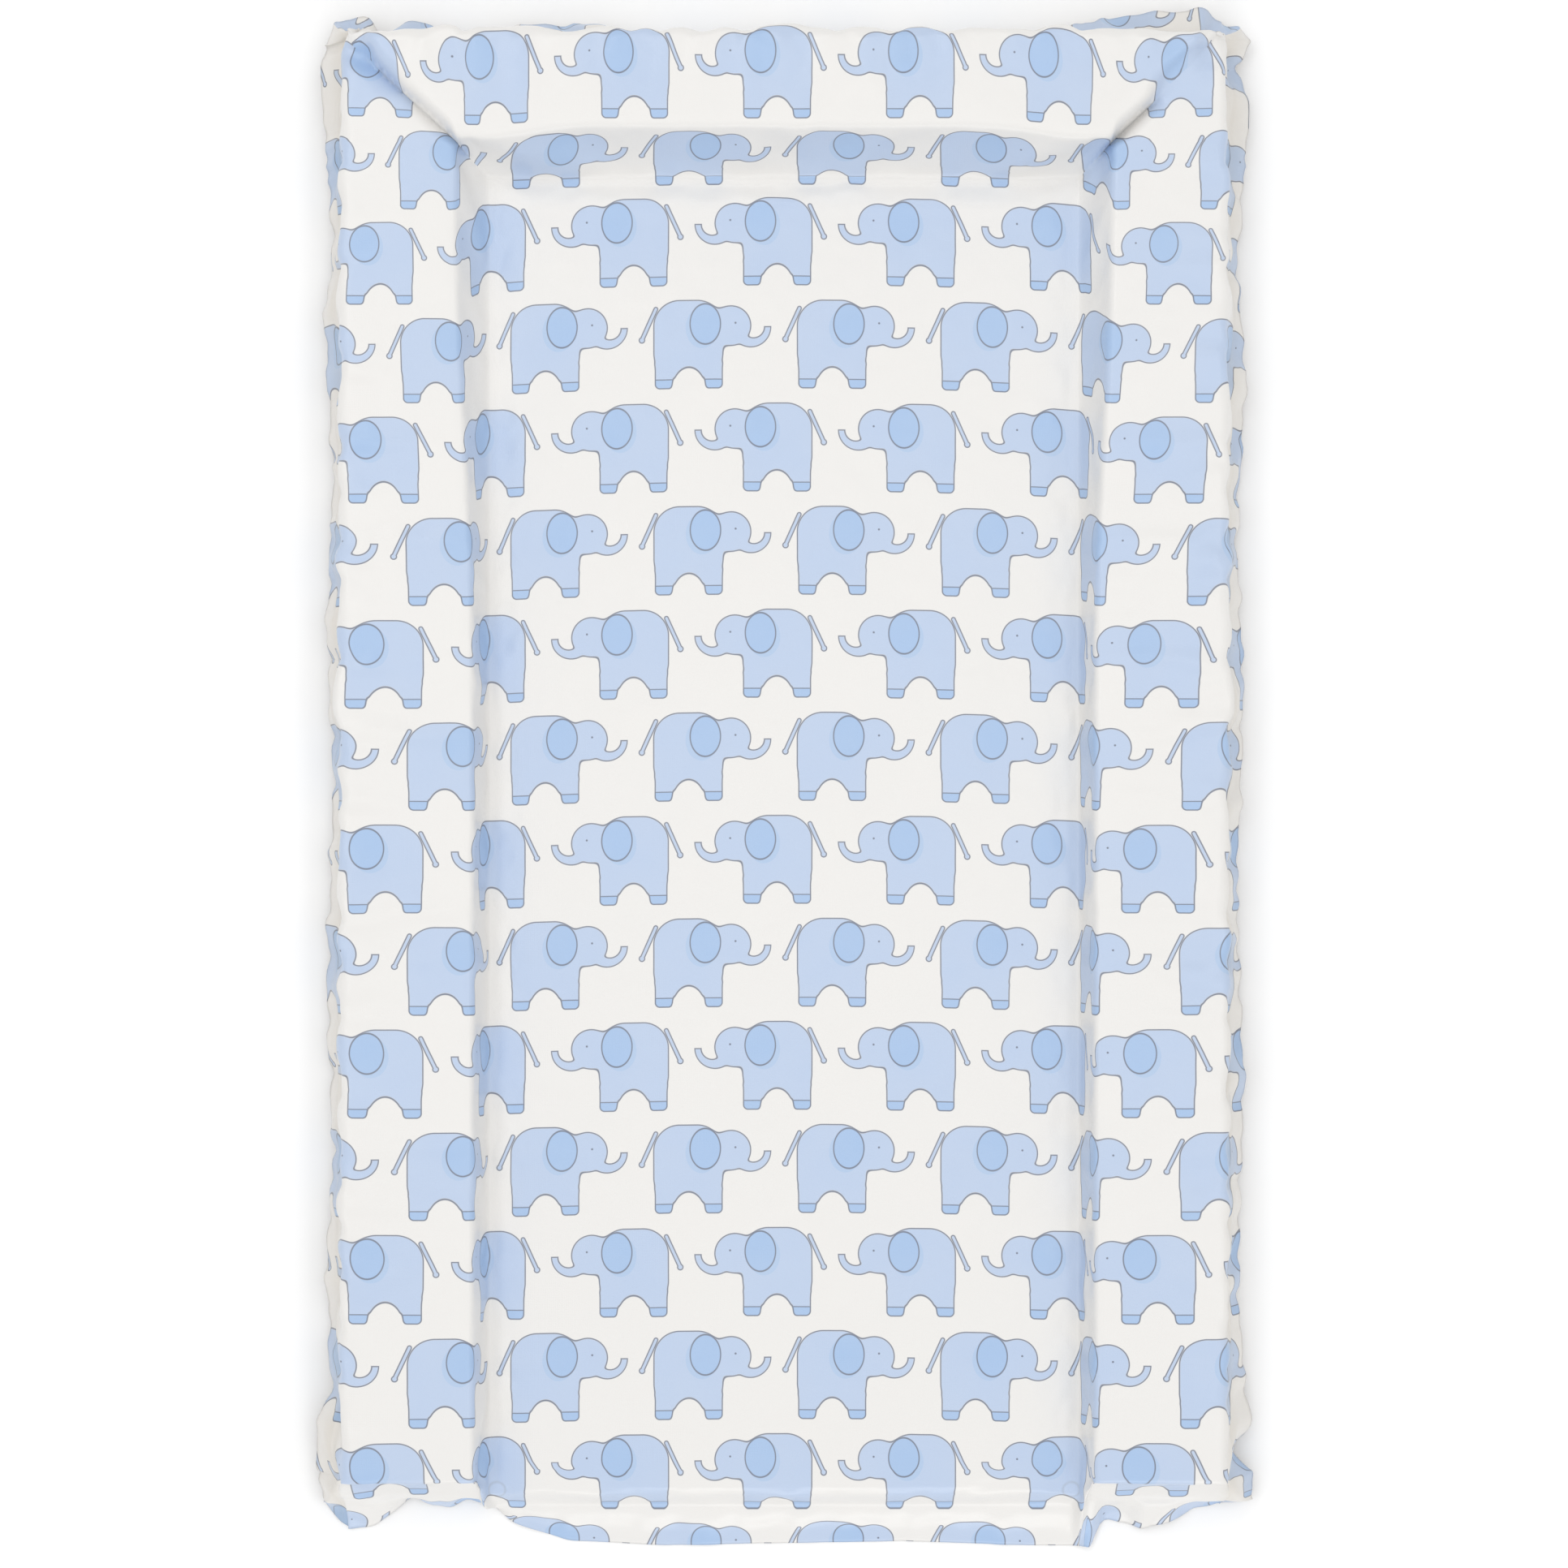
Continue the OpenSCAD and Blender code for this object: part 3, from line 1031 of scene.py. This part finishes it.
def start_material(name, roughness):
    """A new node material and its shader; the tree becomes the one that Value builds in."""
    material = bpy.data.materials.new(name)
    material.use_nodes = True
    Value.tree = material.node_tree
    shader = material.node_tree.nodes["Principled BSDF"]
    shader.inputs["Roughness"].default_value = roughness
    return material, shader


def texture(kind, vector, scale, **settings):
    """A texture on the given coordinates, as a number."""
    node = add_node("Tex" + kind, Scale=scale, **settings)
    link(vector, node.inputs["Vector"])
    return Value(node.outputs["Distance" if kind == "Voronoi" else "Fac"])


def bump(shader, height, strength, distance):
    """Fine relief from a height number."""
    node = add_node("Bump", Strength=strength, Distance=distance)
    link(height, node.inputs["Height"])
    link(node.outputs["Normal"], shader.inputs["Normal"])


PITCH_X, PITCH_Y = 69.9, 50.2  # spacing of the printed animals
ROW_Y = 265.0  # centre of a row that faces left
LEFT_X, TURN_X = -12.0, -25.8  # an animal's centre in it, and the shift of rows that face right
WHITE = colour(234, 232, 229)
BODY = colour(186, 203, 229)
DEEP = colour(164, 192, 228)
SHADE = colour(175, 198, 228)
INK = colour(112, 120, 138)
# Beige tint for painted shade on the flange below the bars' outer edges; it also colours the tear-stop
# weld rings
FLANGE_SHADE_AND_WELD_TINT = colour(243, 240, 235)
VINYL_RELIEF = 0.22
WELD_MIDDLE, WELD_HALF, WELD_DEPTH = 2.4, 1.3, 4.0  # the outer weld line, beyond the seam
# The outer seam's place on the flat sheet, with the sheet that the valleys take up
SEAM_U = INNER_X + flat_path("side", SIDE_PATH_LEAN)[SEAM] + 6.0
SEAM_V = INNER_Y + flat_path("head", HEAD_LEAN)[SEAM] + HEAD_TAKE_UP + HEAD_STRETCH
THREADS_U, THREADS_V = 6.8, 7.4  # the embossed weave's waves, in radians for each millimetre

# The round tear-stop welds at the foot ends of the inner weld, on the flat sheet
TEAR_U, TEAR_V, TEAR_R = INNER_X - 3.0, FOOT_SEAM + 9.4, 4.2


def animal_print(u, v):
    """Colour of the printed rows of a plain generic elephant at flat position u, v."""
    row = Value.make("ROUND", (v - ROW_Y) / PITCH_Y)
    y = v - ROW_Y - row * PITCH_Y
    turned = Value.make("FLOORED_MODULO", row, 2.0)
    across = u - LEFT_X - turned * TURN_X
    x = across - Value.make("ROUND", across / PITCH_X) * PITCH_X
    x = x * (turned * -2 + 1)
    trunk_width = (x + 30) * 0.09 + 1.5
    trunk = (length(x + 22.5, y - 8) - 7.5).size() - trunk_width
    trunk = trunk.most(y - 8)
    body = box(x, y, 8.8, 2, 16.8, 19, 12.5)
    legs = box(x, y, -3.4, -15, 4.3, 6.8, 2.2).least(box(x, y, 20.6, -15, 4.3, 6.8, 2.2))
    head = disc(x, y, -12, 8.6, 9.6).blend_least(trunk, 2.0)
    whole = body.blend_least(head, 6.0).blend_least(legs, 3.0)
    belly = oval(x, y, 8.6, -24, 8.4, 12.5)
    whole = (whole * -1).blend_least(belly, 1.5) * -1
    tail = rod(x, y, (24.6, 17), (31, 3), 0.9).least(disc(x, y, 31.4, 2, 1.3))
    whole = whole.least(tail)
    ear = oval(x, y, 0.5, 9.5, 7.4, 9.8)
    ear_shadow = oval(x, y, 2.2, 7.6, 7.9, 9.9)
    hooves = whole.most(y + 17.5)
    filled = inside_of(whole + 0.35)
    shown = paint(WHITE, BODY, filled)
    shown = paint(shown, SHADE, inside_of(ear_shadow) * filled)
    shown = paint(shown, DEEP, inside_of(ear))
    shown = paint(shown, DEEP, inside_of(hooves))
    lines = (whole.size() - 0.3).least(ear.size() - 0.3).least(hooves.size() - 0.25)
    lines = lines.least(disc(x, y, -14.2, 10, 0.5))
    return paint(shown, INK, inside_of(lines, 0.16))


def vinyl(name, printed):
    """Soft embossed vinyl film: the printed side, or the plain backing."""
    material, shader = start_material(name, 0.32)
    flat_map, split = add_node("UVMap"), add_node("SeparateXYZ")
    flat_map.uv_map = "flat"
    flat = flat_map.outputs["UV"]
    link(flat, split.inputs[0])
    u, v = Value(split.outputs["X"]), Value(split.outputs["Y"])
    cloud = texture("Noise", flat, 0.035, Detail=3.0)
    base = animal_print(u, v) if printed else WHITE
    base = paint(base, colour(222, 223, 222), cloud * 0.14)
    beyond = (u.size() - SEAM_U).most(v - SEAM_V)
    # Painted shade: the flange is darkened most at the seam, just below the bar's outer edge, and half
    # as much at the cut edge
    painted_flange_shade = inside_of(beyond * -1 - 4, 6.0) * (inside_of(beyond * -1 + 8, 5.0) * -0.5 + 1)
    tear_stop = inside_of(disc(u.size(), v, TEAR_U, TEAR_V, TEAR_R).size() - 0.5, 0.5)
    # Multiplies in the painted shade on the flange, and the tint of the tear-stop weld rings
    base = paint(base, FLANGE_SHADE_AND_WELD_TINT, painted_flange_shade.most(tear_stop), "MULTIPLY")
    link(base, shader.inputs["Base Color"])
    link(cloud * 0.16 + 0.24, shader.inputs["Roughness"])
    warp = texture("Noise", flat, 0.5, Detail=1.0) * 1.2
    threads = Value.make("SINE", (u + warp) * THREADS_U)
    threads = threads + Value.make("SINE", (v + warp) * THREADS_V)
    grain = texture("Noise", flat, 1.4, Detail=2.0)
    weld_line = inside_of((beyond - WELD_MIDDLE).size() - WELD_HALF, 0.5)
    pressed = (weld_line + tear_stop) * WELD_DEPTH
    bump(shader, threads * 0.25 + grain - pressed, VINYL_RELIEF, 0.00012)
    return material


def foam_material():
    """Open-cell foam, cream white with small pores."""
    material, shader = start_material("open_cell_foam", 0.95)
    place = add_node("TexCoord").outputs["Object"]
    cells = texture("Voronoi", place, 700.0)
    cloud = texture("Noise", place, 60.0, Detail=4.0)
    base = paint(colour(238, 232, 208), colour(214, 203, 170), cells * 0.6 + cloud * 0.25)
    link(base, shader.inputs["Base Color"])
    bump(shader, cells, 0.6, 0.0008)
    return material


# -------- the pieces
def dress(piece, material, node):
    """Gives a piece its material and its place in the frame."""
    piece.data.materials.clear()
    piece.data.materials.append(material)
    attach(piece, "root")
    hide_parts(node)


foams = {
    "base_foam": pad_foam("base_foam_pad"),
    "head_foam": head_foam("head_foam_bar"),
    "left_side_foam": side_foam("left_side_foam_bar", -1),
    "right_side_foam": side_foam("right_side_foam_bar", 1),
}
top_sheet, backing_sheet = build_sheets(list(foams.values()))
foam_look = foam_material()
for node, foam in foams.items():
    dress(foam, foam_look, node)
dress(top_sheet, vinyl("printed_vinyl_film", True), "top_sheet")
dress(backing_sheet, vinyl("backing_vinyl_film", False), "backing_sheet")

# -------- floor, camera, lights
bpy.ops.mesh.primitive_plane_add(size=12)
floor = bpy.context.object
floor.name = "floor"
floor_material, floor_shader = start_material("floor_paint", 0.9)
floor_cloud = texture("Noise", add_node("TexCoord").outputs["Object"], 3.0)
floor_colour = paint(colour(255, 255, 255), colour(251, 251, 251), floor_cloud)
link(floor_colour, floor_shader.inputs["Base Color"])
floor.data.materials.append(floor_material)

CAMERA_HEIGHT = 1.6
VIEW_WIDTH = 0.7728  # width of the floor that the picture shows
SENSOR = 36
camera_data = bpy.data.cameras.new("camera")
camera_data.sensor_width = SENSOR
camera_data.lens = SENSOR * CAMERA_HEIGHT / VIEW_WIDTH
camera = bpy.data.objects.new("camera", camera_data)
camera.location = (0, 0, CAMERA_HEIGHT)
bpy.context.scene.collection.objects.link(camera)
bpy.context.scene.camera = camera


def softbox(name, place, size, power):
    """A large rectangular area light aimed at the mat; its size is (level side, other side)."""
    data = bpy.data.lights.new(name, "AREA")
    data.shape = "RECTANGLE"
    data.size, data.size_y = size
    data.energy = power
    lamp = bpy.data.objects.new(name, data)
    lamp.location = place
    lamp.rotation_euler = (-Vector(place)).to_track_quat("-Z", "Y").to_euler()
    bpy.context.scene.collection.objects.link(lamp)


softbox("overhead_softbox", (0, 0.1, 2.4), (1.3, 1.3), 4)
softbox("left_strip", (-1.15, 0.3, 2.1), (2.2, 0.4), 7)
softbox("right_strip", (1.15, 0.1, 2.1), (2.2, 0.4), 5)
softbox("head_strip", (-0.3, 1.5, 2.0), (2.0, 0.4), 6)
softbox("foot_softbox", (0.3, -2.2, 1.1), (1.4, 1.0), 10)
SKY_STRENGTH = 0.715
world = bpy.data.worlds.new("studio")
world.use_nodes = True
sky = world.node_tree.nodes["Background"]
sky.inputs["Color"].default_value = (1, 1, 1, 1)
sky.inputs["Strength"].default_value = SKY_STRENGTH
bpy.context.scene.world = world
bpy.context.scene.view_settings.view_transform = "Standard"
